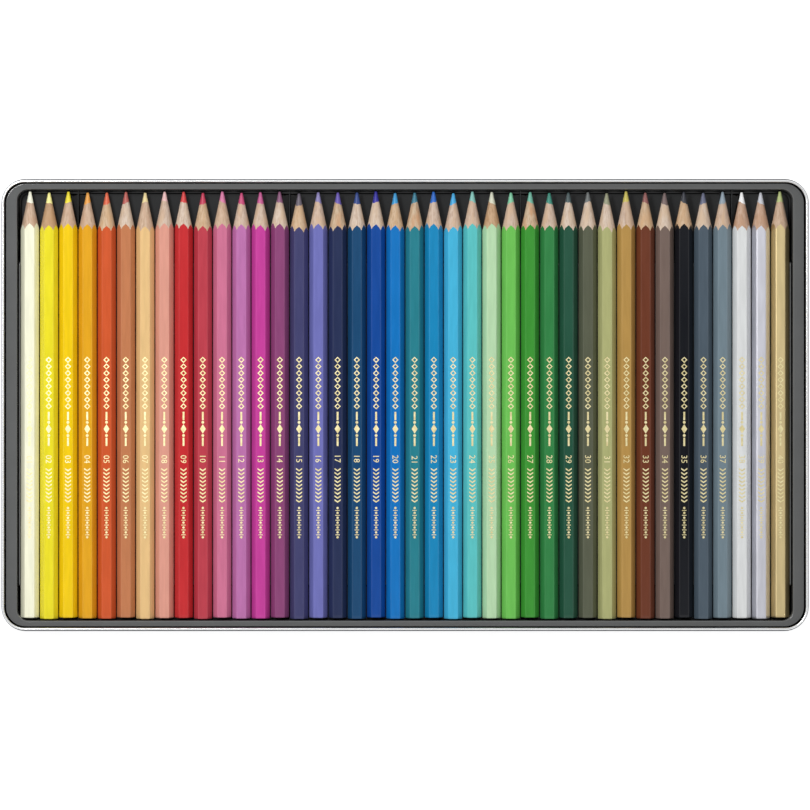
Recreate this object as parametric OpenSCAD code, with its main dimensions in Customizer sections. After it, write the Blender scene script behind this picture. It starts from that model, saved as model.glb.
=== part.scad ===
// Flat slip-lid tin holding a row of forty colored pencils in a formed tray.
// The tin is open for use: its lid is stowed upside down under the base, tray and pencils
// lie open to view. The pieces are the lid, the base, the tray and one node per pencil.
// Origin: middle of the lid's panel, on the table. +X runs along the row of pencils,
// +Y is the way the sharpened tips point, +Z is up. Millimetres.

/* [Pencils] */
// Number of pencils in the row
pencil_count = 40; // [30:2:56]
// Length of a pencil from blunt end to tip
pencil_l = 175; // [150:1:180]
// Width of a pencil's barrel across its flats
pencil_f = 6.6; // [6.2:0.1:7.2]
// Radius of the barrel's six long edges
barrel_edge_r = 0.9; // [0.5:0.1:1.2]
// Bevel of the lacquered blunt end, on a flat
blunt_bevel = 0.4; // [0.2:0.05:0.6]
// Half angle of the sharpened cone, in degrees
cone_angle = 12; // [10:0.5:15]
// Radius that is left at the very tip
tip_r = 0.3; // [0.2:0.05:0.5]
// Diameter of the colored lead
lead_d = 2.8; // [2.2:0.1:3.4]
// Glue line between lead and wood
lead_gap = 0.05; // [0.03:0.01:0.08]
// Thickness of wood and lacquer closing the blunt end
blunt_cap = 1; // [0.5:0.1:3]
// Gap between neighbouring pencils
pencil_gap = 0.55; // [0.4:0.05:1]
// Most that a pencil lies out of line, along its length
row_scatter = 0.3; // [0:0.05:0.3]

/* [Tray] */
// Thickness of the formed sheet
sheet = 0.5; // [0.4:0.05:0.6]
// Clearance between a pencil and its groove
seat_gap = 0.15; // [0.12:0.01:0.2]
// Height of the ridges between the grooves
ridge_h = 2; // [1.4:0.1:2.2]
// Room beside the outermost pencils
side_room = 1.42; // [1.3:0.01:2]
// Room past each end of the pencils
end_room = 0.9; // [0.8:0.05:2]
// Length of the open bay under the sharpened tips
tip_bay = 29.6; // [24:0.2:40]
// Length of the open bay under the blunt ends
blunt_bay = 14.1; // [10:0.1:20]
// Depth of the bays below the flange
bay_depth = 8.9; // [8.7:0.1:9.2]
// How far the well's walls lean in from top to floor
draft = 0.6; // [0.3:0.1:0.7]
// Corner radius of the well's opening
well_r = 4.6; // [4:0.1:5]
// Width of the flange beside the outermost pencils
flange_side = 4.5; // [3.5:0.1:8]
// Width of the flange past the pencils' ends
flange_end = 2.2; // [2:0.1:6]
// Corner radius of the tray in plan
tray_r = 8.5; // [8:0.1:9]
// Radius where the flange rolls over into the well
well_edge_r = 0.9; // [0.7:0.05:1]
// Radius where the well's walls meet its floor
bay_floor_r = 0.8; // [0.5:0.1:1]
// Height of the flange's turned-down lip
lip_h = 1.8; // [1.2:0.1:2.5]
// Radius of the lip's top edge
lip_edge_r = 0.8; // [0.6:0.05:1]
// Width of the deep channels across each bay
channel_w = 5.7; // [4.6:0.1:6.4]
// Width of the rib's foot in the middle of a channel
rib_foot = 1.1; // [0.9:0.1:1.4]
// Width of the rib's crest
rib_crest = 0.7; // [0.5:0.1:0.9]
// Pencils in the outer groups, outside the first and the last channel
outer_group = 3; // [2:1:5]
// Pencils from the middle of the row to the inner channels
inner_group = 6; // [4:1:8]

/* [Tin] */
// Thickness of the tinplate
plate = 0.25; // [0.22:0.01:0.3]
// Height of the base, outside
base_h = 15; // [14.8:0.1:16]
// Corner radius of the base in plan
base_r = 9.3; // [8.5:0.1:12]
// Radius of the base's bottom edge
base_edge_r = 2.4; // [2:0.1:3]
// Diameter of the rolled rim
curl_d = 1; // [0.8:0.05:1.2]
// Gap between the rolled rim and the tray
tray_gap = 0.5; // [0.4:0.05:1]
// How far the tray's flange lies below the rim
flange_drop = 2.4; // [2:0.1:3]
// How far the pencils lie below the flange
pencil_drop = 0.7; // [0.3:0.1:1]
// Step of the embossed panels in base and lid
emboss = 0.5; // [0.3:0.05:0.6]
// Width of the plain border round the embossed panels
border_w = 7; // [5:0.5:15]
// Length of the slope from border to panel
slope_w = 1; // [0.6:0.1:2]
// Corner radius of the embossed panels
panel_r = 6; // [3:0.5:12]

/* [Lid] */
// Depth of the lid, outside
lid_h = 8.5; // [6:0.5:11]
// Gap all round between the lid's skirt and the base
lid_gap = 0.2; // [0.15:0.05:0.3]
// Height of the folded hem on the skirt's edge
hem_h = 2; // [1.4:0.1:3]
// Radius of the lid's edge
lid_edge_r = 1.8; // [1.2:0.1:1.9]

/* [Hidden] */
$fn = 96;

function pencil_name(i) = str("pencil_", i < 10 ? "0" : "", i);

// Barrel: facets that round a long edge, half width over those edges, and spacing of the row
barrel_edge_steps = 3;
barrel_half = pencil_f / sqrt(3) - barrel_edge_r * (1 / cos(30) - 1);
pitch = 2 * barrel_half + pencil_gap;
function pencil_x(i) = (i - (pencil_count + 1) / 2) * pitch;
// Each pencil lies a little out of line with its neighbours
function pencil_shift(i) = row_scatter * sin(137 * i);

// Plan sizes, from the row outward
well_l = 2 * (pencil_x(pencil_count) + barrel_half + side_room);
well_w = pencil_l + 2 * end_room;
tray_l = well_l + 2 * flange_side;
tray_w = well_w + 2 * flange_end;
base_l = tray_l + 2 * (tray_gap + curl_d);
base_w = tray_w + 2 * (tray_gap + curl_d);
lid_l = base_l + 2 * (lid_gap + plate);
lid_w = base_w + 2 * (lid_gap + plate);
lid_r = base_r + lid_gap + plate;

// Heights, from the table up
lid_border_z = emboss;
base_z = lid_border_z + plate;
base_panel_z = base_z + emboss;
rim_z = base_z + base_h;
tray_foot_z = base_panel_z + plate;
flange_z = rim_z - flange_drop;
pencil_axis_z = flange_z - pencil_drop - pencil_f / 2;
groove_z = flange_z - pencil_drop - pencil_f - seat_gap;
ridge_z = groove_z + ridge_h;
bay_z = flange_z - bay_depth;

// Comb of grooves: its ends, and the half widths of a groove at floor and crest
comb_tip_y = well_w / 2 - tip_bay;
comb_blunt_y = blunt_bay - well_w / 2;
groove_floor_half = (pencil_f / 2 + seat_gap) * tan(30);
groove_crest_half = groove_floor_half + ridge_h * tan(30);
sheet_shift = sheet * tan(30);
outer_ridge_crest = 0.45;
outer_ridge_slope = 0.4;
// Each channel lies on the line between two pencils, numbered by the pencil on its left
CHANNELS = [
    outer_group,
    pencil_count / 2 - inner_group,
    pencil_count / 2 + inner_group,
    pencil_count - outer_group
];

// Lacquer and lead of each pencil, from left to right
PALETTE = [
    ["#FCFADC", "#F6F2D2"], // ivory
    ["#ECE332", "#F2EA8C"], // lemon
    ["#F3D21A", "#EEDB40"], // yellow
    ["#E4A828", "#E6A04C"], // golden yellow
    ["#D65F38", "#DA6448"], // vermilion
    ["#C68060", "#B66058"], // sienna
    ["#E4C486", "#E6D098"], // buff
    ["#DE9C8C", "#E4B8B4"], // salmon
    ["#C4303A", "#D44444"], // scarlet
    ["#C04450", "#C43C58"], // crimson
    ["#D0709A", "#D478A2"], // rose
    ["#C074B2", "#C44A78"], // orchid
    ["#C43CA0", "#C25C90"], // magenta
    ["#904878", "#8A5878"], // plum
    ["#50507C", "#68606C"], // violet grey
    ["#7676B6", "#8C84B6"], // lavender
    ["#343660", "#6858AE"], // indigo
    ["#285478", "#344A8A"], // prussian blue
    ["#2452A0", "#34309C"], // cobalt
    ["#2078C2", "#3C96CE"], // azure
    ["#2C7E8E", "#3C7890"], // deep teal
    ["#1C8AC0", "#2868C4"], // cerulean
    ["#48B2DA", "#3CA0DA"], // sky blue
    ["#68C6C6", "#60C0BE"], // turquoise
    ["#B6E0B0", "#DAE6CC"], // mint
    ["#72C65C", "#7CC6A0"], // spring green
    ["#46A03C", "#6CB29C"], // leaf green
    ["#368850", "#3C8C78"], // emerald
    ["#34604C", "#4C5C5C"], // fir green
    ["#5C5C48", "#6C706C"], // olive grey
    ["#B0B270", "#8C9478"], // reed green
    ["#BC9450", "#D6C63C"], // ochre
    ["#743C2C", "#905854"], // russet
    ["#7A6860", "#786460"], // taupe
    ["#24262C", "#444850"], // black
    ["#4C6070", "#686C84"], // slate
    ["#788C98", "#90A0AC"], // dove grey
    ["#DEDEDE", "#F4F4F4"], // white
    ["#C4C4CC", "#C4C8D0"], // silver
    ["#B49C5C", "#A8BE70"]  // gold
];
function shade(i) = PALETTE[(i - 1) % len(PALETTE)];

// Plan outline of a rounded rectangle
module round_plan(l, w, r) {
    square([l - 2 * r, w], center = true);
    square([l, w - 2 * r], center = true);
    for (x = [-1, 1], y = [-1, 1])
        translate([x * (l / 2 - r), y * (w / 2 - r)])
            circle(r = r);
}

// A flat plate with rounded corners, its underside at z
module round_plate(l, w, r, z, t) {
    translate([0, 0, z])
        linear_extrude(t)
            round_plan(l, w, r);
}

// Carries a section round a rounded rectangle. The section's x counts outward from the
// rectangle's edge, and its y is the height.
module sweep_round(l, w, r) {
    for (turn = [0, 180]) {
        rotate(turn)
            translate([l / 2, 0, 0])
                rotate([90, 0, 0])
                    linear_extrude(w - 2 * r, center = true)
                        children();
        rotate(turn + 90)
            translate([w / 2, 0, 0])
                rotate([90, 0, 0])
                    linear_extrude(l - 2 * r, center = true)
                        children();
    }
    for (corner = [[1, 1, 0], [-1, 1, 90], [-1, -1, 180], [1, -1, 270]])
        translate([corner.x * (l / 2 - r), corner.y * (w / 2 - r), 0])
            rotate(corner.z)
                rotate_extrude(angle = 90)
                    translate([r, 0])
                        children();
}

// Quarter of a bent sheet's section: outer radius r, thickness t, first quadrant turned
module quarter_bend(r, t, turn) {
    intersection() {
        difference() {
            circle(r = r);
            circle(r = r - t);
        }
        rotate(turn)
            square(r);
    }
}

// Carries a section in X and Z along Y, from one y to the other
module along_y(from_y, to_y) {
    translate([0, to_y, 0])
        rotate([90, 0, 0])
            linear_extrude(to_y - from_y)
                children();
}

// Drawn tinplate pan: rounded bottom edge, plain border and embossed panel.
// The border's underside is at z, the panel is stepped by dz. The children are the
// section of the wall above the bottom edge, with the outer face at x = 0.
module drawn_pan(l, w, r, edge_r, z, dz) {
    inner_l = l - 2 * border_w;
    inner_w = w - 2 * border_w;
    sweep_round(l, w, r) {
        translate([-edge_r, z + edge_r])
            quarter_bend(edge_r, plate, 270);
    }
    sweep_round(l, w, r)
        children();
    difference() {
        round_plate(l - 2 * edge_r, w - 2 * edge_r, r - edge_r, z, plate);
        round_plate(inner_l, inner_w, panel_r, z - 1, plate + 2);
    }
    sweep_round(inner_l, inner_w, panel_r)
        polygon([[0, z], [0, z + plate], [-slope_w, z + dz + plate], [-slope_w, z + dz]]);
    round_plate(inner_l - 2 * slope_w, inner_w - 2 * slope_w, panel_r - slope_w, z + dz, plate);
}

// Straight wall with the rim rolled inward, its free end tucked under
module base_wall_section() {
    curl_r = curl_d / 2;
    bottom = base_z + base_edge_r;
    translate([-plate, bottom])
        square([plate, rim_z - curl_r - bottom]);
    translate([-curl_r, rim_z - curl_r])
        difference() {
            circle(r = curl_r);
            circle(r = curl_r - plate);
            translate([0, -curl_d])
                square(curl_d);
        }
}

module tin_base() {
    color("#D9DBDD")
        drawn_pan(base_l, base_w, base_r, base_edge_r, base_z, emboss)
            base_wall_section();
}

// Skirt with its edge folded outward into a flat hem
module lid_wall_section() {
    bottom = lid_border_z + lid_edge_r;
    fold_z = lid_h - plate;
    translate([-plate, bottom])
        square([plate, fold_z - bottom]);
    translate([0, fold_z])
        circle(r = plate);
    translate([0, lid_h - hem_h])
        square([plate, hem_h - plate]);
    translate([plate / 2, lid_h - hem_h])
        circle(r = plate / 2);
}

module lid() {
    color("#C9CCCF")
        drawn_pan(lid_l, lid_w, lid_r, lid_edge_r, lid_border_z, -emboss)
            lid_wall_section();
}

// Wall of the well: rolled top edge, leaning wall, rounded foot
module well_section() {
    top = flange_z - well_edge_r;
    foot = bay_z + bay_floor_r;
    translate([well_edge_r, top])
        quarter_bend(well_edge_r, sheet, 90);
    polygon([[0, top], [sheet, top], [sheet - draft, foot], [-draft, foot]]);
    translate([-draft - bay_floor_r, foot])
        quarter_bend(bay_floor_r + sheet, sheet, 270);
}

// Turned-down lip at the flange's outer edge
module lip_section() {
    translate([-lip_edge_r, flange_z - lip_edge_r])
        quarter_bend(lip_edge_r, sheet, 0);
    translate([-sheet, flange_z - lip_h])
        square([sheet, lip_h - lip_edge_r]);
}

module flange() {
    well_inset = draft + bay_floor_r;
    difference() {
        round_plate(
            tray_l - 2 * lip_edge_r, tray_w - 2 * lip_edge_r, tray_r - lip_edge_r,
            flange_z - sheet, sheet);
        round_plate(
            well_l + 2 * well_edge_r, well_w + 2 * well_edge_r, well_r + well_edge_r,
            flange_z - 2 * sheet, 3 * sheet);
    }
    sweep_round(tray_l, tray_w, tray_r)
        lip_section();
    sweep_round(well_l, well_w, well_r)
        well_section();
    round_plate(
        well_l - 2 * well_inset, well_w - 2 * well_inset, well_r - well_inset,
        bay_z - sheet, sheet);
}

// Upper side of the comb: half a hexagon for each pencil, and a low ridge past the last ones
module comb_top_section() {
    first_x = pencil_x(1) - groove_crest_half - outer_ridge_crest;
    last_x = -first_x;
    polygon(concat(
        [[-well_l / 2, bay_z - sheet], [-well_l / 2, groove_z]],
        [[first_x - outer_ridge_slope, groove_z], [first_x, ridge_z]],
        [for (i = [1:pencil_count]) each [
            [pencil_x(i) - groove_crest_half, ridge_z],
            [pencil_x(i) - groove_floor_half, groove_z],
            [pencil_x(i) + groove_floor_half, groove_z],
            [pencil_x(i) + groove_crest_half, ridge_z]
        ]],
        [[last_x, ridge_z], [last_x + outer_ridge_slope, groove_z]],
        [[well_l / 2, groove_z], [well_l / 2, bay_z - sheet]]
    ));
}

// Under side of the comb, one sheet below the upper one, open down to the tin's floor
module comb_hollow_section() {
    below = bay_z - 2 * sheet;
    out_x = well_l / 2 + flange_side;
    floor_half = groove_floor_half + sheet_shift;
    crest_half = groove_crest_half + sheet_shift;
    polygon(concat(
        [[-out_x, below], [-out_x, groove_z - sheet]],
        [for (i = [1:pencil_count - 1]) each [
            [pencil_x(i) + floor_half, groove_z - sheet],
            [pencil_x(i) + crest_half, ridge_z - sheet],
            [pencil_x(i + 1) - crest_half, ridge_z - sheet],
            [pencil_x(i + 1) - floor_half, groove_z - sheet]
        ]],
        [[out_x, groove_z - sheet], [out_x, below]]
    ));
}

// Across a bay, from the comb's end to the well's wall: side is 1 at the tips, -1 at the blunt ends
function bay_start(side) = side > 0 ? comb_tip_y : -comb_blunt_y;
bay_end = well_w / 2 - draft - bay_floor_r;

module at_channels(side) {
    mirror([0, side > 0 ? 0 : 1, 0])
        for (i = CHANNELS)
            translate([pencil_x(i) + pitch / 2, 0, 0])
                children();
}

// Sunk box of a channel, closed below by the sheet that stands on the tin's floor
module channel_box(side) {
    at_channels(side)
        translate([-channel_w / 2 - sheet, bay_start(side) - sheet, tray_foot_z])
            cube([
                channel_w + 2 * sheet,
                bay_end - bay_start(side) + 2 * sheet,
                bay_z - sheet / 2 - tray_foot_z
            ]);
}

module channel_cut(side) {
    floor_z = tray_foot_z + sheet;
    at_channels(side)
        translate([-channel_w / 2, bay_start(side), floor_z])
            cube([channel_w, bay_end - bay_start(side), bay_z + sheet - floor_z]);
}

// Thin rib in the middle of a channel, as high as the ridges
module channel_rib(side) {
    foot_z = tray_foot_z + sheet / 2;
    at_channels(side)
        along_y(bay_start(side) - sheet / 2, well_w / 2 - draft / 2)
            polygon([
                [-rib_foot / 2, foot_z],
                [rib_foot / 2, foot_z],
                [rib_crest / 2, ridge_z],
                [-rib_crest / 2, ridge_z]
            ]);
}

module tray() {
    color("#4A4C4F") {
        difference() {
            union() {
                flange();
                along_y(comb_blunt_y, comb_tip_y)
                    comb_top_section();
                for (side = [-1, 1])
                    channel_box(side);
            }
            along_y(comb_blunt_y + sheet, comb_tip_y - sheet)
                comb_hollow_section();
            for (side = [-1, 1])
                channel_cut(side);
        }
        for (side = [-1, 1])
            channel_rib(side);
    }
}

// Hexagonal barrel's section, one flat facing up, each long edge rounded in a few narrow facets
module barrel_section() {
    core_r = (pencil_f - 2 * barrel_edge_r) / sqrt(3);
    polygon([
        for (corner = [0:60:300], step = [0:barrel_edge_steps])
            let (turn = corner - 30 + 60 * step / barrel_edge_steps)
                core_r * [cos(corner), sin(corner)] + barrel_edge_r * [cos(turn), sin(turn)]
    ]);
}

// Half section that a pencil's bevelled end and sharpened cone are turned to
module turned_section() {
    reach = barrel_half + 0.2;
    end_r = pencil_f / 2 - blunt_bevel;
    cone_l = (reach - tip_r) / tan(cone_angle);
    polygon([
        [0, 0],
        [end_r, 0],
        [reach, reach - end_r],
        [reach, pencil_l - cone_l],
        [tip_r, pencil_l],
        [0, pencil_l]
    ]);
}

// Lead: a rod that the sharpened cone runs down to the tip
module lead() {
    r = lead_d / 2;
    start = blunt_cap + lead_gap;
    rotate_extrude()
        polygon([
            [0, start],
            [r, start],
            [r, pencil_l - (r - tip_r) / tan(cone_angle)],
            [tip_r, pencil_l],
            [0, pencil_l]
        ]);
}

// Wooden casing: the barrel, turned down to the cone and bored for the lead
module casing() {
    difference() {
        intersection() {
            linear_extrude(pencil_l)
                barrel_section();
            rotate_extrude()
                turned_section();
        }
        translate([0, 0, blunt_cap])
            cylinder(r = lead_d / 2 + lead_gap, h = pencil_l);
    }
}

// One pencil in its groove, blunt end toward -Y
module pencil(i) {
    translate([pencil_x(i), pencil_shift(i) - pencil_l / 2, pencil_axis_z])
        rotate([-90, 0, 0]) {
            color(shade(i)[0])
                casing();
            color(shade(i)[1])
                lead();
        }
}

lid();
tin_base();
tray();
for (i = [1:pencil_count])
    pencil(i);
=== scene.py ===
import math
import random
from collections import namedtuple

import bpy
import numpy as np
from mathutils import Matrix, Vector


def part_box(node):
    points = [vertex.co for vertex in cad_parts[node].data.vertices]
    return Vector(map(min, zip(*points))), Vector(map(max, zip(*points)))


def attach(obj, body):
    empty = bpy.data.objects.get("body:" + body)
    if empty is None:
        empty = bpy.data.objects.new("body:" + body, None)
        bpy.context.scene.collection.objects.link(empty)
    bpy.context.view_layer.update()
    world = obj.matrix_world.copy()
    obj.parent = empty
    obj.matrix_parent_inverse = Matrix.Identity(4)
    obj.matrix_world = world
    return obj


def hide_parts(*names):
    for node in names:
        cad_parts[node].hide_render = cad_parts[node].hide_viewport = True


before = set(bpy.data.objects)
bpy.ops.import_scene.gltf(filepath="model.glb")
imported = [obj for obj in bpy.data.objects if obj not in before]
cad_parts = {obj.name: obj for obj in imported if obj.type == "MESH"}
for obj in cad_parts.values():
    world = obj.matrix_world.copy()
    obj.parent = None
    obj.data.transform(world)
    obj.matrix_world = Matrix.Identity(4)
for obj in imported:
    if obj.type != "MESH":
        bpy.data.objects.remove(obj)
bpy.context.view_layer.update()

# Colored pencil tin: forty lacquered hexagonal pencils in a formed tray, the tray in an open
# tinplate base, and the base standing in its own stowed lid. Sizes are millimetres.
MM = 0.001
TAN_30 = math.tan(math.radians(30))

# Pencils: pitch of the row, length, width across the flats, radius of the long edges, rounding
# of the blunt end, the cone's slope, radius and length of the rounded tip, the lead's radius
COUNT = 40
PITCH = 7.8926
PENCIL_L = 175.0
FLATS = 6.6
EDGE_R = 0.36
END_R = 0.55
CONE = math.tan(math.radians(12))
TIP_R = 0.45
TIP_CAP = 0.25
LEAD_R = 1.4
# Rows of the barrel between its two ends
BARREL_ROWS = (END_R + 0.8, 45.0, 100.0, 150.0)

# How far a pencil is from perfect: cone off the barrel's middle, across and up, lead off the
# cone's middle, wear of the tip, unevenness of the scallops and of the lead's edge
SEED = 4100
CONE_OFF_X, CONE_OFF_Z = 0.13, 0.1
LEAD_OFF = (0.04, 0.16)
TIP_WEAR = 0.4
SCALLOP_UNEVEN = 0.05
LEAD_UNEVEN = 0.03

# Tinplate pans: outside length, width and corner radius in plan, height of the underside,
# radius of the bottom bend, rise of the embossed panel
PLATE = 0.25
EMBOSS = 0.5
LID_GAP = 0.2
Pan = namedtuple("Pan", "length width corner bottom bend step")
BASE = Pan(330.0, 184.2, 9.3, EMBOSS + PLATE, 2.4, EMBOSS)
LID = Pan(
    BASE.length + 2 * (LID_GAP + PLATE), BASE.width + 2 * (LID_GAP + PLATE),
    BASE.corner + LID_GAP + PLATE, EMBOSS, 1.8, -EMBOSS,
)
BASE_H = 15.0
RIM_Z = BASE.bottom + BASE_H
RIM_R = 0.43
LID_H = 8.5
HEM_H = 2.0
PANEL_BORDER = 7.0
PANEL_SLOPE = 1.0
PANEL_R = 6.0
PANEL_EASE = 0.35
# Flat strips beside a bend hold the smooth shading to the bend
FLAT_HOLD = 0.6
BEND_HOLD = 0.5
HEM_HOLD = 0.2
CORNER_HOLD = 1.0
BASE_WALL_FOOT_Z = 4.2
LID_WALL_FOOT_Z = 3.2

# Tray of formed sheet: outside in plan, well in plan, then its edges
SHEET = 0.5
TRAY_L, TRAY_W, TRAY_R = 327.0, 181.5, 8.0
END_ROOM = 0.9
WELL_L = 317.99
WELL_W = PENCIL_L + 2 * END_ROOM
WELL_R = 4.6
LIP_H = 1.8
LIP_R = 0.3
WELL_EDGE_R = 0.52
DRAFT = 0.45
FOOT_R = 0.8
EDGE_HOLD = 0.3
FOOT_HOLD = 0.4
# Floor of the well: it reaches this far in under the walls' feet
FLOOR_LAP = 0.95
FLOOR_INSET = 0.3

# Heights in the tray, from the rim down and from the base's floor up
FLANGE_Z = RIM_Z - 2.4
PENCIL_DROP = 0.7
SEAT_GAP = 0.15
RIDGE_H = 2.0
GROOVE_Z = FLANGE_Z - PENCIL_DROP - FLATS - SEAT_GAP
RIDGE_Z = GROOVE_Z + RIDGE_H
BAY_Z = FLANGE_Z - 8.9
CHANNEL_Z = BASE.bottom + EMBOSS + PLATE + SHEET

# Comb: half widths of a groove at its floor and crest, the fence past the last grooves, and
# where the comb ends toward the two bays
GROOVE_FLOOR = (FLATS / 2 + SEAT_GAP) * TAN_30
GROOVE_CREST = GROOVE_FLOOR + RIDGE_H * TAN_30
COMB_EASE = 0.34
FENCE_Z = 11.0
FENCE_OFF = 0.75
FENCE_T = 0.5
FENCE_FOOT = 0.18
FENCE_LEAN = 0.1
TIP_BAY = 29.6
BLUNT_BAY = 14.1
COMB_TIP_Y = WELL_W / 2 - TIP_BAY
COMB_BLUNT_Y = BLUNT_BAY - WELL_W / 2
# How the comb's ends roll down to a bay: distance toward the bay, share of the height left
COMB_END = [
    (-1.5, 1.0), (-1.1, 0.995), (-0.75, 0.96), (-0.45, 0.88), (-0.2, 0.74), (-0.06, 0.52),
    (0.0, 0.3), (0.06, 0.14), (0.2, 0.04), (0.5, 0.0), (0.8, 0.0),
]

# Channels in the bays, after these pencils, and the thin rib that stands in each
CHANNEL_AFTER = (3, 14, 26, 37)
CHANNEL_W = 7.0
CHANNEL_LEAN = 0.16
CHANNEL_EASE = 0.4
# How a channel runs out at the well's wall: distance before the wall's foot, share of its depth
CHANNEL_END = [(1.6, 1.0), (0.9, 0.97), (0.55, 0.85), (0.3, 0.55), (0.18, 0.2), (0.0, 0.0)]
RIB_FOOT = 0.5
# The rib's rounded crest: half width, distance below the crest
RIB_CREST = [(0.24, 0.3), (0.18, 0.12), (0.09, 0.03), (0.0, 0.0)]
RIB_LAP = 1.2
RIB_SHORT = 0.35

# Stamping on the top flat: places are counted along the barrel, from its end near the tip
STAMP_Y = 20.0
STAMP_LIFT = 0.02
CHAIN_LINKS, CHAIN_START, CHAIN_PITCH = 8, 1.5, 2.72
LINK_L, LINK_W, LINK_LINE = 2.55, 2.6, 0.4
SPINDLE_MIDDLE = 29.8
NUMBER_MIDDLE, NUMBER_H = 42.2, 2.6
FEATHERS, FEATHER_START, FEATHER_PITCH = 9, 45.8, 1.6
PEARLS, PEARL_START, PEARL_PITCH = 7, 62.2, 2.0

# Studio, in metres: the camera is over the middle, at the height and lens that give the
# photograph's perspective
EYE_ABOVE_RIM = 2.8
LENS = 304.0
SOFTBOX_AT = Vector((-0.34, 0.28, 0.85))
SOFTBOX_SIZE = (0.2, 0.16)
SOFTBOX_WATTS = 4.9
TENT_STRENGTH = 0.84
PAPER_GLOW = 0.78
FLOOR_HALF = 6.0
# A hair lower than the lid's panel, so that the two faces don't fight where they touch
FLOOR_Z = -0.02 * MM

# Lacquer and lead of each pencil, left to right, as seen in even light
PENCILS = [
    ("#FFFEE2", "#FFFEE8"),  # ivory
    ("#F4E62A", "#FCF49C"),  # lemon
    ("#FAD212", "#F0DE34"),  # yellow
    ("#EAAA20", "#E8A24A"),  # golden yellow
    ("#D65C30", "#DC6646"),  # vermilion
    ("#C88056", "#B86058"),  # sienna
    ("#EEC68A", "#EAD69C"),  # buff
    ("#E4A08E", "#E8BCBA"),  # salmon
    ("#CC3034", "#D84444"),  # scarlet
    ("#C24250", "#C43C58"),  # crimson
    ("#D47698", "#D67AA4"),  # rose
    ("#C276B2", "#C64A78"),  # orchid
    ("#CC42A0", "#C45C92"),  # magenta
    ("#90487A", "#8A5878"),  # plum
    ("#464672", "#68606C"),  # violet grey
    ("#7476BE", "#8C84B8"),  # lavender
    ("#2A3458", "#6858B0"),  # indigo
    ("#1C4C76", "#344A8A"),  # prussian blue
    ("#144CA0", "#34309C"),  # cobalt
    ("#1478C6", "#3E9AD2"),  # azure
    ("#2A8492", "#3C7C92"),  # deep teal
    ("#1A8CC2", "#2868C4"),  # cerulean
    ("#48BAE2", "#44A8DE"),  # sky blue
    ("#60CACA", "#84C4BA"),  # turquoise
    ("#BEE2B6", "#D4D6C0"),  # mint
    ("#72C85A", "#82CCA6"),  # spring green
    ("#409A38", "#72B8A2"),  # leaf green
    ("#36884A", "#3C8C7A"),  # emerald
    ("#285844", "#4C5C5E"),  # fir green
    ("#5E6250", "#6E7272"),  # olive grey
    ("#B4B67C", "#9A9C80"),  # reed green
    ("#BC9450", "#CEC05E"),  # ochre
    ("#723C28", "#96605C"),  # russet
    ("#7A6860", "#7A6866"),  # taupe
    ("#16181E", "#3C3E46"),  # black
    ("#52606C", "#6A6E86"),  # slate
    ("#788A94", "#92A2AE"),  # dove grey
    ("#E6E8E8", "#FAFAFA"),  # white
    ("#E9E9F2", "#CCCED6"),  # silver
    ("#EED8A2", "#BAC684"),  # gold
]
METALLIC_LACQUERS = (39, 40)

# Cedar cut by the sharpener: pale grain, dark grain and warm patches
CEDARS = {
    "beige": ("#D5B89E", "#BF9E82", "#CCA78A"),
    "tan": ("#CDA985", "#AC855F", "#C49A70"),
    "straw": ("#D7BA9A", "#C09E7A", "#D5AE85"),
    "pale": ("#DECBB9", "#C6AB94", "#DBBFA2"),
    "rosy": ("#D7C0AD", "#BFA18B", "#D7B697"),
    "amber": ("#D4BC9E", "#B69675", "#D2A37B"),
    "brown": ("#D2B29B", "#B58C6E", "#C89E80"),
}
CEDAR_ORDER = (
    "beige tan beige beige straw pale beige rosy pale straw "
    "beige rosy rosy pale straw rosy amber pale pale straw "
    "amber rosy rosy rosy tan rosy amber rosy pale pale "
    "pale rosy straw pale straw pale rosy brown brown beige"
).split()


# Materials
def linear(hexa, shade=1.0):
    """sRGB hex to a linear color, made darker or lighter by shade."""
    parts = [int(hexa[k:k + 2], 16) / 255 for k in (1, 3, 5)]
    parts = [c / 12.92 if c <= 0.04045 else ((c + 0.055) / 1.055) ** 2.4 for c in parts]
    return tuple(min(1.0, c * shade) for c in parts) + (1.0,)


def node(tree, kind, settings=None, links=None):
    """Adds one node: settings are its properties or socket values, links feed its sockets."""
    new = tree.nodes.new(kind)
    for key, value in (settings or {}).items():
        if isinstance(key, str) and hasattr(new, key):
            setattr(new, key, value)
        else:
            new.inputs[key].default_value = value
    for key, source in (links or {}).items():
        tree.links.new(source, new.inputs[key])
    return new


def new_material(name):
    """A new plain material: returns it with its node tree and its shader."""
    material = bpy.data.materials.new(name)
    material.use_nodes = True
    tree = material.node_tree
    return material, tree, tree.nodes["Principled BSDF"]


def featured(tree, x_mm, y_mm, z_mm):
    """Object coordinates counted in features of the given sizes."""
    where = node(tree, "ShaderNodeTexCoord")
    return node(
        tree, "ShaderNodeMapping",
        {"Scale": (1 / (MM * x_mm), 1 / (MM * y_mm), 1 / (MM * z_mm))},
        {"Vector": where.outputs["Object"]},
    ).outputs["Vector"]


def toned(tree, pattern, low, high, start=0.35, end=0.65):
    """Color that goes from low to high over part of a pattern's range."""
    new = node(tree, "ShaderNodeValToRGB", links={"Fac": pattern})
    new.color_ramp.elements[0].position = start
    new.color_ramp.elements[0].color = low
    new.color_ramp.elements[1].position = end
    new.color_ramp.elements[1].color = high
    return new.outputs["Color"]


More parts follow.
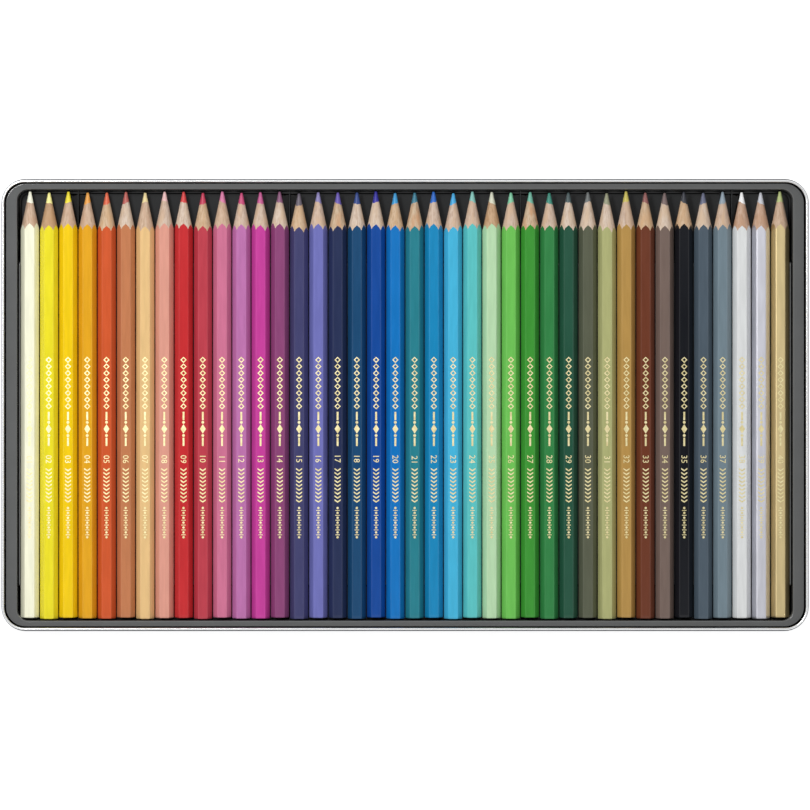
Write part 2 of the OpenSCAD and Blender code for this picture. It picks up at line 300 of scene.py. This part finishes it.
def finish(tree, shader, tone, gloss=None, relief=None):
    """Gives a shader its color, its range of roughness over a pattern, and its relief in mm."""
    tree.links.new(tone, shader.inputs["Base Color"])
    if gloss:
        pattern, smooth, rough = gloss
        spread = node(tree, "ShaderNodeMapRange", {"To Min": smooth, "To Max": rough}, {"Value": pattern})
        tree.links.new(spread.outputs["Result"], shader.inputs["Roughness"])
    if relief:
        pattern, strength, depth = relief
        bump = node(tree, "ShaderNodeBump", {"Strength": strength, "Distance": depth * MM},
                    {"Height": pattern})
        tree.links.new(bump.outputs["Normal"], shader.inputs["Normal"])


def tinplate():
    """Tinned steel sheet, cold rolled: satin mirror with faint lines along the rolling.

    The roll of the rim is given a brighter color than the plain sheet: partly burnish from its
    tool, partly a painted highlight that keeps the rim's band white from above. Real rolling lines
    are about 0.05 mm apart, too fine to show, so they are drawn 0.35 mm apart.
    """
    material, tree, shader = new_material("tinplate_rolled")
    lines = node(tree, "ShaderNodeTexNoise", {"Scale": 1.0, "Detail": 4.0},
                 {"Vector": featured(tree, 45, 0.35, 0.35)}).outputs["Fac"]
    cloud = node(tree, "ShaderNodeTexNoise", {"Scale": 1.0, "Detail": 2.0},
                 {"Vector": featured(tree, 22, 22, 22)}).outputs["Fac"]
    place = node(tree, "ShaderNodeSeparateXYZ", links={"Vector": featured(tree, 1, 1, 1)})
    sheet = toned(tree, cloud, linear("#C6C8CA"), linear("#D0D2D4"))
    # Painted highlight: the top of the roll gets the bright color, partly a burnish, partly standing in for
    # the highlight along the rim
    plain_z, burnish_and_highlight_z = RIM_Z - 1.3, RIM_Z - 0.9
    burnish_and_highlight = node(tree, "ShaderNodeMapRange", {"From Min": plain_z, "From Max": burnish_and_highlight_z},
                     {"Value": place.outputs["Z"]}).outputs["Result"]
    tone = node(tree, "ShaderNodeMix", {"data_type": "RGBA", 7: linear("#F4F5F6")},
                {0: burnish_and_highlight, 6: sheet}).outputs[2]
    finish(tree, shader, tone, gloss=(lines, 0.2, 0.34), relief=(lines, 0.15, 0.02))
    shader.inputs["Metallic"].default_value = 1.0
    return material


def stoved_enamel():
    """Grey enamel stoved on the lid's sheet: satin, with the faint orange peel of the roller."""
    material, tree, shader = new_material("enamel_stoved")
    peel = node(tree, "ShaderNodeTexNoise", {"Scale": 1.0, "Detail": 2.0},
                {"Vector": featured(tree, 0.9, 0.9, 0.9)}).outputs["Fac"]
    cloud = node(tree, "ShaderNodeTexNoise", {"Scale": 1.0, "Detail": 2.0},
                 {"Vector": featured(tree, 25, 25, 25)}).outputs["Fac"]
    tone = toned(tree, cloud, linear("#5F6266"), linear("#66696D"))
    finish(tree, shader, tone, gloss=(cloud, 0.3, 0.4), relief=(peel, 0.12, 0.03))
    return material


def tray_plastic():
    """Dark grey polystyrene sheet, vacuum formed: satin skin with the mould's fine grain.

    The skin's color carries painted shade: greyest at the flange and darker the deeper the skin lies
    in the well, near black in the channels. The mould's grain is about 0.1 mm, too fine to show, so it
    is drawn at 0.35 mm.
    """
    material, tree, shader = new_material("polystyrene_formed")
    cloud = node(tree, "ShaderNodeTexNoise", {"Scale": 1.0, "Detail": 3.0},
                 {"Vector": featured(tree, 14, 14, 14)}).outputs["Fac"]
    grain = node(tree, "ShaderNodeTexNoise", {"Scale": 1.0, "Detail": 2.0},
                 {"Vector": featured(tree, 0.35, 0.35, 0.35)}).outputs["Fac"]
    place = node(tree, "ShaderNodeSeparateXYZ", links={"Vector": featured(tree, 1, 1, 1)})
    # Painted shade: below this height the color darkens with depth, down to near black in the deep channels
    unshaded_z = 10.0
    height = node(tree, "ShaderNodeMapRange", {"From Min": CHANNEL_Z, "From Max": unshaded_z},
                  {"Value": place.outputs["Z"]}).outputs["Result"]
    tone = toned(tree, height, linear("#0C0C0D"), linear("#5D5E5E"), 0.0, 1.0)
    for level_z, hexa in ((BAY_Z, "#2C2D2E"), (8.5, "#323334")):
        level = tone.node.color_ramp.elements.new((level_z - CHANNEL_Z) / (unshaded_z - CHANNEL_Z))
        level.color = linear(hexa)
    worn = toned(tree, cloud, (0.94, 0.94, 0.94, 1), (1, 1, 1, 1))
    shade = node(tree, "ShaderNodeVectorMath", {"operation": "MULTIPLY"}, {0: tone, 1: worn})
    finish(tree, shader, shade.outputs["Vector"], gloss=(cloud, 0.1, 0.14), relief=(grain, 0.12, 0.03))
    shader.inputs["IOR"].default_value = 1.5
    return material


def lacquer(name, hexa, metallic):
    """Nitro lacquer in several dipped coats: glossy, with a faint pull along the barrel.

    The two metallic ones carry fine flakes, which spread the light more.
    """
    material, tree, shader = new_material(name)
    pull = node(tree, "ShaderNodeTexNoise", {"Scale": 1.0, "Detail": 2.0},
                {"Vector": featured(tree, 1.6, 14, 1.6)}).outputs["Fac"]
    smooth, rough = (0.43, 0.49) if metallic else (0.07, 0.12)
    tone = toned(tree, pull, linear(hexa, 0.79), linear(hexa, 0.86))
    finish(tree, shader, tone, gloss=(pull, smooth, rough), relief=(pull, 0.08, 0.04))
    shader.inputs["IOR"].default_value = 1.5
    if metallic:
        shader.inputs["Metallic"].default_value = 1.0
    return material


def cedar(name, pale, dark, warm):
    """Cedar cut by the sharpener: matt, with long faint streaks and warmer patches."""
    material, tree, shader = new_material(name)
    streak = node(tree, "ShaderNodeTexNoise", {"Scale": 1.0, "Detail": 3.0, "Roughness": 0.6},
                  {"Vector": featured(tree, 0.55, 24, 0.55)}).outputs["Fac"]
    patch = node(tree, "ShaderNodeTexNoise", {"Scale": 1.0, "Detail": 1.0},
                 {"Vector": featured(tree, 2.4, 9, 2.4)}).outputs["Fac"]
    grain = toned(tree, streak, linear(dark, 0.82), linear(pale, 0.84), 0.34, 0.56)
    warmed = node(tree, "ShaderNodeMapRange", {"From Min": 0.42, "From Max": 0.72},
                  {"Value": patch}).outputs["Result"]
    tone = node(tree, "ShaderNodeMix", {"data_type": "RGBA", 7: linear(warm, 0.82)},
                {0: warmed, 6: grain}).outputs[2]
    finish(tree, shader, tone, relief=(streak, 0.25, 0.05))
    shader.inputs["Roughness"].default_value = 0.68
    shader.inputs["IOR"].default_value = 1.45
    return material


def wax_lead(name, hexa):
    """Pigment and wax core, cut to a point: dull, finely mottled."""
    material, tree, shader = new_material(name)
    mottle = node(tree, "ShaderNodeTexNoise", {"Scale": 1.0, "Detail": 3.0},
                  {"Vector": featured(tree, 0.5, 1.1, 0.5)}).outputs["Fac"]
    tone = toned(tree, mottle, linear(hexa, 0.86), linear(hexa, 1.02))
    finish(tree, shader, tone, relief=(mottle, 0.25, 0.04))
    shader.inputs["Roughness"].default_value = 0.38
    shader.inputs["IOR"].default_value = 1.45
    return material


def stamped_foil():
    """Gold foil pressed hot into the lacquer: bright, a little uneven where it took less."""
    material, tree, shader = new_material("foil_hot_stamped")
    patchy = node(tree, "ShaderNodeTexNoise", {"Scale": 1.0, "Detail": 3.0},
                  {"Vector": featured(tree, 1.2, 1.2, 1.2)}).outputs["Fac"]
    tone = toned(tree, patchy, linear("#EEDEA2"), linear("#FAEEBC"))
    finish(tree, shader, tone, gloss=(patchy, 0.25, 0.45))
    shader.inputs["Metallic"].default_value = 0.7
    return material


# Mesh building
class Skin:
    """Points and faces of one piece, gathered patch by patch."""

    def __init__(self):
        self.points = []
        self.faces = []
        self.finishes = []

    def patch(self, rows, finish_at=0, close_rows=False, close_across=False, flip=False):
        """Quads between rows of equally many points."""
        first = len(self.points)
        across = len(rows[0])
        for row in rows:
            self.points += [tuple(p) for p in row]
        for r in range(len(rows) if close_rows else len(rows) - 1):
            for c in range(across if close_across else across - 1):
                here = first + r * across
                there = first + (r + 1) % len(rows) * across
                quad = (here + c, here + (c + 1) % across, there + (c + 1) % across, there + c)
                self.faces.append(quad[::-1] if flip else quad)
                self.finishes.append(finish_at)

    def face(self, points, finish_at=0):
        """One flat face."""
        first = len(self.points)
        self.points += [tuple(p) for p in points]
        self.faces.append(tuple(range(first, first + len(points))))
        self.finishes.append(finish_at)

    def piece(self, name, body, materials, replaced):
        """Turns the gathered faces into a piece that rides on a body."""
        mesh = bpy.data.meshes.new(name)
        mesh.from_pydata([(x * MM, y * MM, z * MM) for x, y, z in self.points], [], self.faces)
        for material in materials:
            mesh.materials.append(material)
        mesh.polygons.foreach_set("material_index", self.finishes)
        mesh.polygons.foreach_set("use_smooth", [True] * len(self.faces))
        mesh.update()
        made = bpy.data.objects.new(name, mesh)
        bpy.context.scene.collection.objects.link(made)
        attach(made, body)
        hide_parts(replaced)


def arc(across, up, radius, start, end, steps):
    """Points of an arc in a section, angles in degrees."""
    turns = [math.radians(start + (end - start) * k / steps) for k in range(steps + 1)]
    return [(across + radius * math.cos(t), up + radius * math.sin(t)) for t in turns]


def ring(length, width, radius, z, steps=10):
    """Closed row of points round a rounded rectangle, counter-clockwise from above."""
    row = []
    for side_x, side_y, turn in ((1, 1, 0), (-1, 1, 90), (-1, -1, 180), (1, -1, 270)):
        middle_x, middle_y = side_x * (length / 2 - radius), side_y * (width / 2 - radius)
        corner = arc(middle_x, middle_y, radius, turn, turn + 90, steps)
        start, end = math.radians(turn), math.radians(turn + 90)
        before = (corner[0][0] + CORNER_HOLD * math.sin(start), corner[0][1] - CORNER_HOLD * math.cos(start))
        after = (corner[-1][0] - CORNER_HOLD * math.sin(end), corner[-1][1] + CORNER_HOLD * math.cos(end))
        row += [before] + corner + [after]
    return [(x, y, z) for x, y in row]


def rings_round(plan, section):
    """Rows for a section carried round a rounded rectangle: section points are (out, z)."""
    length, width, radius = plan
    return [ring(length + 2 * out, width + 2 * out, radius + out, z) for out, z in section]


def eased(points, radius, steps=3):
    """A section's polyline with its corners rounded."""
    done = [points[0]]
    for before, corner, after in zip(points, points[1:], points[2:]):
        back = np.subtract(before, corner)
        on = np.subtract(after, corner)
        # Two neighbouring corners never take more than their shared straight has
        reach = min(radius, 0.45 * np.hypot(*back), 0.45 * np.hypot(*on))
        start = corner + back / np.hypot(*back) * reach
        end = corner + on / np.hypot(*on) * reach
        for k in range(steps + 1):
            t = k / steps
            done.append(tuple((1 - t) ** 2 * start + 2 * t * (1 - t) * np.array(corner) + t * t * end))
    return done + [points[-1]]


# Tinplate pieces
def panel_rings(pan, lift):
    """Rings of the embossed panel, from the plain border to the panel's flat."""
    border = pan.bottom + lift
    flat = border + pan.step
    path = [(FLAT_HOLD, border), (0, border), (-PANEL_SLOPE, flat), (-PANEL_SLOPE - FLAT_HOLD, flat)]
    plan = (pan.length - 2 * PANEL_BORDER, pan.width - 2 * PANEL_BORDER, PANEL_R)
    return rings_round(plan, eased(path, PANEL_EASE))


def drawn_pan(name, pan, wall, material):
    """A drawn pan: wall is the section from the outer bottom edge, over the rim and back down."""
    under = panel_rings(pan, 0)[::-1]
    inside = panel_rings(pan, PLATE)
    outer_bend = arc(-pan.bend, pan.bottom + pan.bend, pan.bend, 270, 360, 6)
    inner_bend = arc(-pan.bend, pan.bottom + pan.bend, pan.bend - PLATE, 360, 270, 6)
    border = -pan.bend - BEND_HOLD
    section = [(border, pan.bottom)] + outer_bend + wall + inner_bend + [(border, pan.bottom + PLATE)]
    skin = Skin()
    rows = under + rings_round((pan.length, pan.width, pan.corner), section) + inside
    skin.patch(rows, close_across=True)
    skin.face(under[0][::-1])
    skin.face(inside[-1])
    skin.piece(name, name, [material], name)


def base_wall():
    """Wall of the base with its rolled rim."""
    middle_x, middle_z = -RIM_R, RIM_Z - RIM_R
    top_hold = middle_z - FLAT_HOLD
    outside = [(0, BASE_WALL_FOOT_Z), (0, top_hold)] + arc(middle_x, middle_z, RIM_R, 0, 270, 20)
    inside = arc(middle_x, middle_z, RIM_R - PLATE, 270, 0, 12)
    return outside + inside + [(-PLATE, top_hold), (-PLATE, BASE_WALL_FOOT_Z)]


def lid_wall():
    """Skirt of the lid with its edge folded outward."""
    hem_z = LID_H - HEM_H
    cut = arc(PLATE / 2, hem_z, PLATE / 2, 180, 360, 6)
    fold = arc(0, LID_H - PLATE, PLATE, 0, 180, 8)
    outside = [(0, LID_WALL_FOOT_Z), (0, hem_z - HEM_HOLD)] + cut + [(PLATE, LID_H - FLAT_HOLD)]
    return outside + fold + [(-PLATE, LID_WALL_FOOT_Z)]


# Tray
def groove_x(i):
    """Middle of the groove of pencil i."""
    return (i - (COUNT + 1) / 2) * PITCH


def comb_section():
    """Upper side of the comb: half a hexagon for each pencil, a thin fence past the last ones."""
    foot = FLOOR_INSET - WELL_L / 2
    inner = groove_x(1) - GROOVE_CREST - FENCE_OFF
    fence = [(foot, GROOVE_Z), (foot + FENCE_FOOT, GROOVE_Z), (inner - FENCE_T, FENCE_Z)]
    fence += [(inner, FENCE_Z), (inner + FENCE_LEAN, RIDGE_Z)]
    points = list(fence)
    for i in range(1, COUNT + 1):
        x = groove_x(i)
        points += [(x - GROOVE_CREST, RIDGE_Z), (x - GROOVE_FLOOR, GROOVE_Z)]
        points += [(x + GROOVE_FLOOR, GROOVE_Z), (x + GROOVE_CREST, RIDGE_Z)]
    points += [(-x, z) for x, z in fence[::-1]]
    return eased(points, COMB_EASE)


def channel_places():
    """Middle of each deep channel."""
    return [groove_x(i) + PITCH / 2 for i in CHANNEL_AFTER]


def bay_section():
    """Floor of a bay with its four deep channels."""
    half = CHANNEL_W / 2
    points = [(FLOOR_INSET - WELL_L / 2, BAY_Z)]
    for x in channel_places():
        points += [(x - half, BAY_Z), (x - half + CHANNEL_LEAN, CHANNEL_Z)]
        points += [(x + half - CHANNEL_LEAN, CHANNEL_Z), (x + half, BAY_Z)]
    points.append((WELL_L / 2 - FLOOR_INSET, BAY_Z))
    return eased(points, CHANNEL_EASE)


def floor_lines():
    """Lines across the well's floor: y, with the comb's share of height and the channels' of depth."""
    foot = WELL_W / 2 - DRAFT - FOOT_R
    lines = {}
    for y in np.linspace(COMB_BLUNT_Y + 2, COMB_TIP_Y - 2, 9):
        lines[round(y, 3)] = (1.0, 1.0)
    for off, share in COMB_END:
        lines[round(COMB_TIP_Y + off, 3)] = (share, 1.0)
        lines[round(COMB_BLUNT_Y - off, 3)] = (share, 1.0)
    for off, share in CHANNEL_END:
        lines[round(foot - off, 3)] = (0.0, share)
        lines[round(off - foot, 3)] = (0.0, share)
    for y in (COMB_TIP_Y + 4, COMB_BLUNT_Y - 4):
        lines[round(y, 3)] = (0.0, 1.0)
    for y in (foot + FLOOR_LAP, -foot - FLOOR_LAP):
        lines[round(y, 3)] = (0.0, 0.0)
    return sorted(lines.items())


def tray_floor(skin):
    """Bays, channels and comb as one formed sheet."""
    comb, bay = comb_section(), bay_section()
    xs = np.unique(np.round([x for x, _ in comb + bay], 4))
    comb_z = np.interp(xs, *zip(*comb))
    bay_z = np.interp(xs, *zip(*bay))
    half_l = WELL_L / 2 - FLOOR_INSET
    half_w = WELL_W / 2 - DRAFT - FOOT_R + FLOOR_LAP
    radius = WELL_R - DRAFT - FOOT_R + FLOOR_LAP

    def inside(x, y):
        """Draws a point that lies outside the floor's rounded corner back onto it."""
        x = max(-half_l, min(half_l, x))
        past_x, past_y = abs(x) - (half_l - radius), abs(y) - (half_w - radius)
        if past_x > 0 and past_y > 0 and math.hypot(past_x, past_y) > radius:
            pull = radius / math.hypot(past_x, past_y)
            x = math.copysign(half_l - radius + past_x * pull, x)
            y = math.copysign(half_w - radius + past_y * pull, y)
        return x, y

    top = []
    for y, (share, depth) in floor_lines():
        zs = BAY_Z + (bay_z - BAY_Z) * depth
        zs = zs + (comb_z - zs) * share
        top.append([(*inside(x, y), z) for x, z in zip(xs, zs)])
    skin.patch(top)
    skin.patch([[(x, y, z - SHEET) for x, y, z in row] for row in top], flip=True)


def tray_rib(skin, x, side):
    """Thin rib in the middle of a channel, from the comb to the well's wall."""
    half = [(RIB_FOOT, CHANNEL_Z - 0.1), (RIB_FOOT, CHANNEL_Z)]
    half += [(u, RIDGE_Z - down) for u, down in RIB_CREST]
    section = [(-u, z) for u, z in half] + half[-2::-1]
    start = (COMB_TIP_Y if side > 0 else -COMB_BLUNT_Y) - RIB_LAP
    # The two rows between the ends only shorten the faces
    stations = (start, start + 3, WELL_W / 2 - 4.4, WELL_W / 2 - RIB_SHORT)
    skin.patch([[(x + u, side * y, z) for u, z in section] for y in stations], flip=side < 0)


def tray(material):
    """Formed tray: lip, flange, well with its bays, channels, ribs and comb."""
    lip_foot = FLANGE_Z - LIP_H
    lip_z = FLANGE_Z - LIP_R
    lip_outside = [(0, lip_foot), (0, lip_foot + EDGE_HOLD)] + arc(-LIP_R, lip_z, LIP_R, 0, 90, 6)
    lip_inside = arc(-LIP_R, lip_z, LIP_R - SHEET, 90, 0, 4) + [(-SHEET, lip_foot)]
    edge_z = FLANGE_Z - WELL_EDGE_R
    foot_x, foot_z = -DRAFT - FOOT_R, BAY_Z + FOOT_R
    well = arc(WELL_EDGE_R, edge_z, WELL_EDGE_R, 90, 180, 7)
    # The drafted wall runs straight between a point below the edge and one above the foot
    well += [(-0.08, edge_z - 0.9), (0.04 - DRAFT, foot_z + 0.5)]
    well += arc(foot_x, foot_z, FOOT_R, 0, -90, 6) + [(foot_x - FOOT_HOLD, BAY_Z)]
    back = [(foot_x - FOOT_HOLD, BAY_Z - SHEET)] + arc(foot_x, foot_z, FOOT_R + SHEET, -90, 0, 6)
    back += arc(WELL_EDGE_R, edge_z, WELL_EDGE_R - SHEET, 180, 90, 4)
    outer, inner = (TRAY_L, TRAY_W, TRAY_R), (WELL_L, WELL_W, WELL_R)
    rows = rings_round(outer, lip_outside + [(-LIP_R - EDGE_HOLD, FLANGE_Z)])
    rows += rings_round(inner, [(WELL_EDGE_R + EDGE_HOLD, FLANGE_Z)] + well + back)
    rows += rings_round(outer, lip_inside)
    skin = Skin()
    skin.patch(rows, close_rows=True, close_across=True)
    tray_floor(skin)
    for x in channel_places():
        for side in (-1, 1):
            tray_rib(skin, x, side)
    skin.piece("tray", "tray", [material], "tray")


# Stamping
def stamped_figures(text, height):
    """Faces of plain figures, from Blender's own font: points (along, across), middle at 0."""
    curve = bpy.data.curves.new("figures", "FONT")
    curve.body = text
    # The font's figures are this much lower than its size
    curve.size = height * 1.35
    curve.resolution_u = 2
    holder = bpy.data.objects.new("figures", curve)
    mesh = bpy.data.meshes.new_from_object(holder)
    points = [(v.co.x, v.co.y) for v in mesh.vertices]
    faces = [tuple(p.vertices) for p in mesh.polygons]
    bpy.data.objects.remove(holder)
    bpy.data.curves.remove(curve)
    bpy.data.meshes.remove(mesh)
    middle = [(min(p[k] for p in points) + max(p[k] for p in points)) / 2 for k in (0, 1)]
    return [[(points[v][0] - middle[0], points[v][1] - middle[1]) for v in face] for face in faces]


def lozenge(at, length, width):
    """Solid lozenge, its longer way along the barrel."""
    return [(at - length / 2, 0), (at, -width / 2), (at + length / 2, 0), (at, width / 2)]


def bar(start, end, width):
    """Bar along the barrel."""
    return [(start, -width / 2), (end, -width / 2), (end, width / 2), (start, width / 2)]


def dot(at, diameter):
    """Round dot, as an octagon."""
    return [(at + u, v) for u, v in arc(0, 0, diameter / 2, 0, 315, 7)]


def open_lozenge(at, length, width, line):
    """Lozenge drawn with a line, as four faces. Cornerwise, the line measures 1.4 times as much."""
    outer = lozenge(at, length, width)
    inner = lozenge(at, length - 2.8 * line, width - 2.8 * line)
    return [[outer[k - 1], outer[k], inner[k], inner[k - 1]] for k in range(4)]


def chevron(at, width, line):
    """One arrow stroke of a feather band, its point away from the tip."""
    half, lead = width / 2, width / 3
    return [[(at, side * half), (at + line, side * half), (at + line + lead, 0), (at + lead, 0)][::side]
            for side in (-1, 1)]


def stamping(number):
    """Foil on the top flat: lozenges, a spindle, the pencil's number, a feather band, pearls."""
    faces = []
    for k in range(CHAIN_LINKS):
        faces += open_lozenge(CHAIN_START + CHAIN_PITCH * k, LINK_L, LINK_W, LINK_LINE)
    middle = SPINDLE_MIDDLE
    faces += [bar(middle - 7.0, middle - 3.6, 0.75), dot(middle - 2.7, 1.2), lozenge(middle, 3.9, 2.4)]
    faces += [dot(middle + 2.7, 1.2), bar(middle + 3.6, middle + 7.0, 0.75)]
    figures = stamped_figures(f"{number:02d}", NUMBER_H)
    faces += [[(u + NUMBER_MIDDLE, v) for u, v in face] for face in figures]
    for k in range(FEATHERS):
        faces += chevron(FEATHER_START + FEATHER_PITCH * k, 2.5, 0.6)
    for k in range(PEARLS):
        faces.append(dot(PEARL_START + PEARL_PITCH * k, 1.0))
        if k < PEARLS - 1:
            between = PEARL_START + PEARL_PITCH * (k + 0.5)
            faces.append(bar(between - 0.15, between + 0.15, 1.8))
    return faces


# Pencils
def barrel_outline():
    """Hexagon with rounded edges, a flat on top: points (across, up) round the section."""
    core = (FLATS - 2 * EDGE_R) / math.sqrt(3)
    # Points near the edges hold the smooth shading off the flats
    hold = 0.35
    points = []
    for corner in range(0, 360, 60):
        turn = math.radians(corner)
        points += arc(core * math.cos(turn), core * math.sin(turn), EDGE_R, corner - 30, corner + 30, 4)
        end = points[-1]
        ahead = math.radians(corner + 120)
        points += [(end[0] + math.cos(ahead) * t, end[1] + math.sin(ahead) * t)
                   for t in (hold, core / 2, core - hold)]
    return points


OUTLINE = barrel_outline()


def pencil(i, wood, foil):
    """One sharpened pencil: lacquered barrel, cut cedar cone, colored point, stamped top flat."""
    name = f"pencil_{i:02d}"
    low, high = (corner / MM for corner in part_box(name))
    mid_x, mid_z, blunt_y = (low.x + high.x) / 2, (low.z + high.z) / 2, low.y
    chance = random.Random(SEED + i)
    # The sharpener holds a barrel a little off its middle, a lead isn't quite central either,
    # and some tips are worn
    off_x, off_z = chance.uniform(-CONE_OFF_X, CONE_OFF_X), chance.uniform(-CONE_OFF_Z, CONE_OFF_Z)
    lead_turn, lead_off = chance.uniform(0, 360), chance.uniform(*LEAD_OFF)
    tip_s = PENCIL_L - chance.uniform(0, TIP_WEAR)
    cap_s = tip_s - TIP_CAP
    axis_x, axis_z = mid_x + off_x, mid_z + off_z

    def barrel_row(along, size=1.0):
        """Outline of the barrel, each point at its own place along the pencil."""
        return [(mid_x + x * size, blunt_y + s, mid_z + z * size) for (x, z), s in zip(OUTLINE, along)]

    def cone_row(along):
        """Ring on the cone, each point at its own place along the pencil."""
        made = []
        for (x, z), s in zip(OUTLINE, along):
            away = math.hypot(x - off_x, z - off_z)
            reach = (TIP_R + (tip_s - s) * CONE) / away
            made.append((axis_x + (x - off_x) * reach, blunt_y + s, axis_z + (z - off_z) * reach))
        return made

    skin = Skin()
    count = len(OUTLINE)
    rows = []
    for k in range(6):
        turn = math.radians(90 * k / 5)
        size = 1 - END_R * (1 - math.sin(turn)) / (FLATS / 2)
        rows.append(barrel_row([END_R * (1 - math.cos(turn))] * count, size))
    # The lacquer ends in scallops, where the cone meets the barrel's surface
    scallops = []
    for x, z in OUTLINE:
        met = tip_s - (math.hypot(x - off_x, z - off_z) - TIP_R) / CONE
        scallops.append(met + chance.uniform(-SCALLOP_UNEVEN, SCALLOP_UNEVEN))
    for s in BARREL_ROWS:
        rows.append(barrel_row([s] * count))
    rows.append(barrel_row([s - FLAT_HOLD for s in scallops]))
    rows.append(barrel_row(scallops))
    skin.patch(rows, close_across=True)
    skin.face(rows[0][::-1])

    lead_edge = []
    for x, z in OUTLINE:
        turn = math.atan2(z - off_z, x - off_x) - math.radians(lead_turn)
        reach = LEAD_R + lead_off * math.cos(turn) + LEAD_UNEVEN * math.sin(5 * turn)
        lead_edge.append(tip_s - (reach - TIP_R) / CONE)
    wood_rows = [cone_row([start + (end - start) * t for start, end in zip(scallops, lead_edge)])
                 for t in (0, 0.06, 0.35, 0.7, 1)]
    skin.patch(wood_rows, 1, close_across=True)

    lead_rows = [cone_row([start + (cap_s - start) * t for start in lead_edge]) for t in (0, 0.4, 0.75, 1)]
    cap = lead_rows[-1]
    for turn in (30, 55, 75):
        shrink = math.cos(math.radians(turn))
        y = blunt_y + cap_s + TIP_CAP * math.sin(math.radians(turn))
        lead_rows.append([(axis_x + (x - axis_x) * shrink, y, axis_z + (z - axis_z) * shrink)
                          for x, _, z in cap])
    skin.patch(lead_rows, 2, close_across=True)
    skin.face(lead_rows[-1], 2)

    top = mid_z + FLATS / 2 + STAMP_LIFT
    for face in stamping(i):
        skin.face([(mid_x + v, STAMP_Y - u, top) for u, v in face], 3)

    shell, core = PENCILS[i - 1]
    coat = lacquer(f"nitro_lacquer_{i:02d}", shell, i in METALLIC_LACQUERS)
    materials = [coat, wood, wax_lead(f"wax_lead_{i:02d}", core), foil]
    skin.piece(f"pencil_{i:02d}_body", name, materials, name)


# Studio
def paper_floor():
    """Studio paper: matt and pale, lit through from below so that it stays white."""
    material, tree, shader = new_material("studio_paper")
    fibre = node(tree, "ShaderNodeTexNoise", {"Scale": 1.0}, {"Vector": featured(tree, 3, 3, 3)})
    finish(tree, shader, toned(tree, fibre.outputs["Fac"], linear("#B4B4B4"), linear("#B8B8B8")))
    shader.inputs["Roughness"].default_value = 0.9
    shader.inputs["Emission Color"].default_value = (1, 1, 1, 1)
    shader.inputs["Emission Strength"].default_value = PAPER_GLOW
    corners = [(x * FLOOR_HALF, y * FLOOR_HALF, FLOOR_Z) for x, y in ((-1, -1), (1, -1), (1, 1), (-1, 1))]
    mesh = bpy.data.meshes.new("floor")
    mesh.from_pydata(corners, [], [(0, 1, 2, 3)])
    mesh.materials.append(material)
    floor = bpy.data.objects.new("floor", mesh)
    bpy.context.scene.collection.objects.link(floor)


def light_tent():
    """A white tent, brightest at its sides, with a narrow dark slot over the middle."""
    world = bpy.data.worlds.new("light_tent")
    bpy.context.scene.world = world
    world.use_nodes = True
    tent = world.node_tree
    where = node(tent, "ShaderNodeTexCoord").outputs["Generated"]
    height = node(tent, "ShaderNodeSeparateXYZ", links={"Vector": where})
    walls = toned(tent, height.outputs["Z"], (1, 1, 1, 1), (0.6, 0.6, 0.6, 1), 0.5, 0.94)
    # The slot is five times as long along the row of pencils as across it
    slot = node(tent, "ShaderNodeMapping", {"Scale": (0.2, 1.0, 0.0)}, {"Vector": where})
    off = node(tent, "ShaderNodeVectorMath", {"operation": "LENGTH"}, {0: slot.outputs["Vector"]})
    gap = toned(tent, off.outputs["Value"], (0.03, 0.03, 0.03, 1), (1, 1, 1, 1), 0.0135, 0.049)
    light = node(tent, "ShaderNodeVectorMath", {"operation": "MULTIPLY"}, {0: walls, 1: gap})
    tent.links.new(light.outputs["Vector"], tent.nodes["Background"].inputs["Color"])
    tent.nodes["Background"].inputs["Strength"].default_value = TENT_STRENGTH


def softbox():
    """Small soft light from the upper left, which makes the right facets the darker ones."""
    lamp = bpy.data.lights.new("softbox", "AREA")
    lamp.shape = "RECTANGLE"
    lamp.size, lamp.size_y = SOFTBOX_SIZE
    lamp.energy = SOFTBOX_WATTS
    box = bpy.data.objects.new("softbox", lamp)
    box.location = SOFTBOX_AT
    box.rotation_euler = SOFTBOX_AT.to_track_quat("Z", "Y").to_euler()
    bpy.context.scene.collection.objects.link(box)


def camera_above():
    """Camera straight above the middle, looking down."""
    camera = bpy.data.cameras.new("camera")
    camera.sensor_width = 36.0
    camera.lens = LENS
    camera.clip_end = 20.0
    eye = bpy.data.objects.new("camera", camera)
    eye.location = (0.0, 0.0, EYE_ABOVE_RIM + RIM_Z * MM)
    bpy.context.scene.collection.objects.link(eye)
    bpy.context.scene.camera = eye
    bpy.context.scene.view_settings.view_transform = "Standard"


paper_floor()
light_tent()
softbox()
camera_above()
drawn_pan("lid", LID, lid_wall(), stoved_enamel())
drawn_pan("tin_base", BASE, base_wall(), tinplate())
tray(tray_plastic())
cedars = {name: cedar(f"cedar_{name}", *tones) for name, tones in CEDARS.items()}
gold_foil = stamped_foil()
for i in range(1, COUNT + 1):
    pencil(i, cedars[CEDAR_ORDER[i - 1]], gold_foil)
